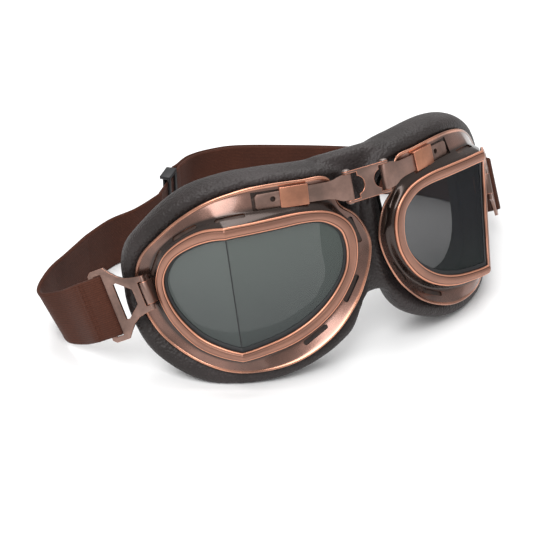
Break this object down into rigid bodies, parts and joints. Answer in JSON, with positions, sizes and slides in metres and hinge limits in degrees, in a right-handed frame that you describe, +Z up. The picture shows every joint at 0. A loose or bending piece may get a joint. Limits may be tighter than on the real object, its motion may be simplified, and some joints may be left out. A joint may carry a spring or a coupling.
{
  "type": "steampunk goggles",
  "caption": "Riding goggles with folded two-pane lenses in copper cups, a hinged bridge, a padded leather face cushion and an elastic strap with buckles and a slider.",
  "frame": {"origin": "centre of the bounding box's bottom face, on the floor the goggles stand on", "axes": "+X towards the wearer's left, along the whole length; +Y from the lenses towards the wearer; +Z up"},
  "size_m": [0.2517, 0.1711, 0.0899],
  "materials": {
    "cup_copper": "antiqued copper plate on pressed brass, glossy brown lacquer",
    "bezel_copper": "brushed copper plate with bright edges",
    "bridge_copper": "matt antiqued copper plate with bright edges",
    "bright_copper": "satin copper plate",
    "pin_steel": "dull, domed head",
    "black_rubber": "matt, cut edge",
    "smoked_glass": "smoked, polished",
    "cushion_leather": "fine grain, dark brown, semi-matt",
    "lining_cloth": "dark knitted lining",
    "strap_elastic": "ribbed brown elastic",
    "slider_plastic": "black, moulded"
  },
  "bodies": {
    "bridge": {"bridge_link": "bridge_copper", "hinge_pin_left": "pin_steel", "hinge_pin_right": "pin_steel", "nose_leather": "cushion_leather", "strap_back": "strap_elastic", "strap_side_left": "strap_elastic", "strap_side_right": "strap_elastic"},
    "arm_left": {"bridge_arm_left": "bridge_copper"},
    "arm_right": {"bridge_arm_right": "bridge_copper"},
    "cup_left": {"cup_shell_left": "cup_copper", "lens_bezel_left": "bezel_copper", "lens_gasket_left": "black_rubber", "lens_front_left": "smoked_glass", "lens_side_left": "smoked_glass", "bridge_sleeve_left": "bright_copper", "strap_lug_left": "bright_copper", "face_cushion_left": "cushion_leather", "face_lining_left": "lining_cloth"},
    "cup_right": {"cup_shell_right": "cup_copper", "lens_bezel_right": "bezel_copper", "lens_gasket_right": "black_rubber", "lens_front_right": "smoked_glass", "lens_side_right": "smoked_glass", "bridge_sleeve_right": "bright_copper", "strap_lug_right": "bright_copper", "face_cushion_right": "cushion_leather", "face_lining_right": "lining_cloth"},
    "buckle_left": {"strap_buckle_left": "bridge_copper", "strap_end_left": "strap_elastic"},
    "buckle_right": {"strap_buckle_right": "bridge_copper", "strap_end_right": "strap_elastic"},
    "slider": {"strap_slider": "slider_plastic"}
  },
  "joints": [
    {"name": "bridge_hinge_left", "type": "hinge", "parent": "bridge", "child": "arm_left", "pos_m": [0.0096, -0.06945, 0.07995], "axis": [0, 0.3778, 0.9259], "range_deg": [-12, 4], "deforming": ["nose_leather", "strap_side_left"]},
    {"name": "bridge_slide_left", "type": "slide", "parent": "arm_left", "child": "cup_left", "axis": [0.9624, 0.271, -0.0183], "range_m": [-0.001, 0.004]},
    {"name": "buckle_hinge_left", "type": "hinge", "parent": "cup_left", "child": "buckle_left", "pos_m": [0.09296, -0.04378, 0.04081], "axis": [0.0894, 0.5478, 0.8318], "range_deg": [-30, 12]},
    {"name": "bridge_hinge_right", "type": "hinge", "parent": "bridge", "child": "arm_right", "pos_m": [-0.0096, -0.06945, 0.07995], "axis": [0, 0.3778, 0.9259], "range_deg": [-4, 12], "deforming": ["nose_leather", "strap_side_right"]},
    {"name": "bridge_slide_right", "type": "slide", "parent": "arm_right", "child": "cup_right", "axis": [-0.9624, 0.271, -0.0183], "range_m": [-0.001, 0.004]},
    {"name": "buckle_hinge_right", "type": "hinge", "parent": "cup_right", "child": "buckle_right", "pos_m": [-0.09296, -0.04378, 0.04081], "axis": [-0.0894, 0.5478, 0.8318], "range_deg": [-12, 30]},
    {"name": "slider_slide", "type": "slide", "parent": "bridge", "child": "slider", "axis": [0.7218, 0.6921, 0], "range_m": [-0.008, 0.008], "deforming": ["strap_back"]}
  ]
}
